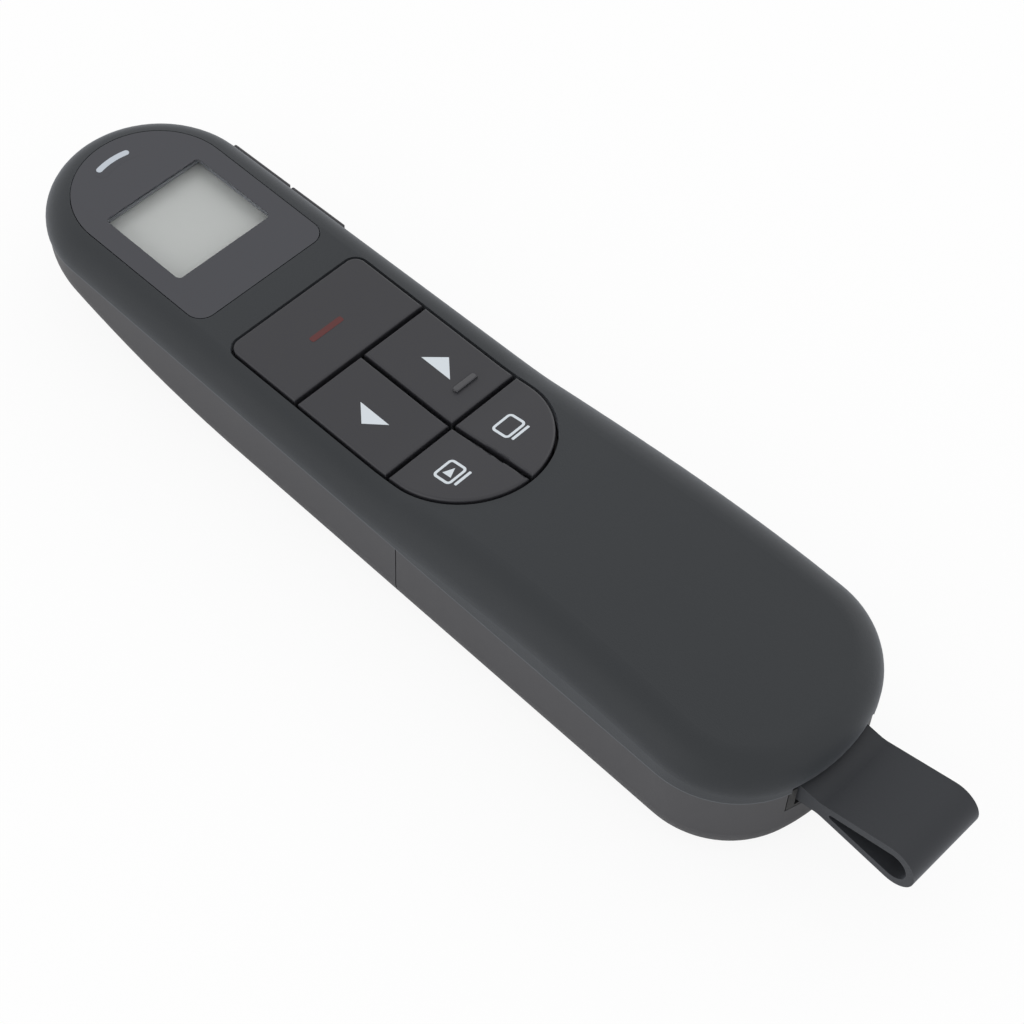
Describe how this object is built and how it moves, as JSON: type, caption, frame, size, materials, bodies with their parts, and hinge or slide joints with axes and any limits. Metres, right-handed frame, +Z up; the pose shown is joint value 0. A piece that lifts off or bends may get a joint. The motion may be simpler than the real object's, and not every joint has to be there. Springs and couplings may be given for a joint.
{
  "type": "wireless presentation clicker",
  "caption": "Long rounded hand-held clicker with a small display window, a cluster of top keys, side keys, a laser in the nose and a strap loop at the tail.",
  "frame": {"origin": "middle of the housing's length and width, on its flat underside", "axes": "+X towards the laser end, +Y to the left of the hand, +Z up out of the keys"},
  "size_m": [0.1696, 0.0378, 0.0236],
  "materials": {
    "shell": "fine soft-touch texture",
    "case": "satin",
    "lens": "glossy, printed dark behind a clear view",
    "tape": "thin adhesive foam",
    "display": "reflective grey display glass",
    "inner": "plain moulded",
    "connector": "striped conductive rubber",
    "guide": "clear, polished",
    "keys": "satin",
    "switch": "moulded switch bodies",
    "board": "green solder mask",
    "brass": "turned",
    "bezel": "glossy ring",
    "window": "clear tinted",
    "cells": "printed sleeve, plain",
    "steel": "plated",
    "cap": "satin",
    "strap": "soft moulded"
  },
  "bodies": {
    "housing": {"upper_shell": "shell", "front_case": "case", "display_lens": "lens", "lens_tape": "tape", "lcd_panel": "display", "lcd_frame": "inner", "lcd_connector": "connector", "light_guide": "guide", "status_led": "guide", "key_switches": "switch", "side_switches": "switch", "side_board": "board", "main_board": "board", "board_chips": "switch", "laser_module": "brass", "laser_lens": "guide", "laser_bezel": "bezel", "laser_window": "window", "chassis": "inner", "cell_left": "cells", "cell_right": "cells", "battery_contacts": "steel", "strap_pin": "steel", "case_screws": "steel", "board_screws": "steel", "chassis_screws": "steel"},
    "battery_door": {"battery_door": "case"},
    "receiver": {"receiver_cap": "cap", "receiver_plug": "steel", "receiver_tongue": "cap"},
    "strap": {"strap": "strap"},
    "laser_key": {"laser_key": "keys"},
    "previous_key": {"previous_key": "keys"},
    "next_key": {"next_key": "keys"},
    "slideshow_key": {"slideshow_key": "keys"},
    "blank_key": {"blank_key": "keys"},
    "side_key_front": {"side_key_front": "keys"},
    "side_key_rear": {"side_key_rear": "keys"}
  },
  "joints": [
    {"name": "laser_press", "type": "slide", "parent": "housing", "child": "laser_key", "axis": [0, 0, -1], "range_m": [0, 0.0005], "stiffness_N_per_m": 1000, "springref_m": -0.0005},
    {"name": "previous_press", "type": "slide", "parent": "housing", "child": "previous_key", "axis": [0, 0, -1], "range_m": [0, 0.0005], "stiffness_N_per_m": 1000, "springref_m": -0.0005},
    {"name": "next_press", "type": "slide", "parent": "housing", "child": "next_key", "axis": [0, 0, -1], "range_m": [0, 0.0005], "stiffness_N_per_m": 1000, "springref_m": -0.0005},
    {"name": "slideshow_press", "type": "slide", "parent": "housing", "child": "slideshow_key", "axis": [0, 0, -1], "range_m": [0, 0.0005], "stiffness_N_per_m": 1000, "springref_m": -0.0005},
    {"name": "blank_press", "type": "slide", "parent": "housing", "child": "blank_key", "axis": [0, 0, -1], "range_m": [0, 0.0005], "stiffness_N_per_m": 1000, "springref_m": -0.0005},
    {"name": "side_press_front", "type": "slide", "parent": "housing", "child": "side_key_front", "axis": [0, 1, 0], "range_m": [0, 0.0004], "stiffness_N_per_m": 1000, "springref_m": -0.0005},
    {"name": "side_press_rear", "type": "slide", "parent": "housing", "child": "side_key_rear", "axis": [0, 1, 0], "range_m": [0, 0.0004], "stiffness_N_per_m": 1000, "springref_m": -0.0005},
    {"name": "door_slide", "type": "slide", "parent": "housing", "child": "battery_door", "axis": [-1, 0, 0], "range_m": [0, 0.0045]},
    {"name": "receiver_slide", "type": "slide", "parent": "housing", "child": "receiver", "axis": [0, -1, 0], "range_m": [0, 0.0109]},
    {"name": "strap_swing", "type": "hinge", "parent": "housing", "child": "strap", "pos_m": [-0.073, 0, 0.0128], "axis": [0, 1, 0], "range_deg": [-8, 15]}
  ]
}
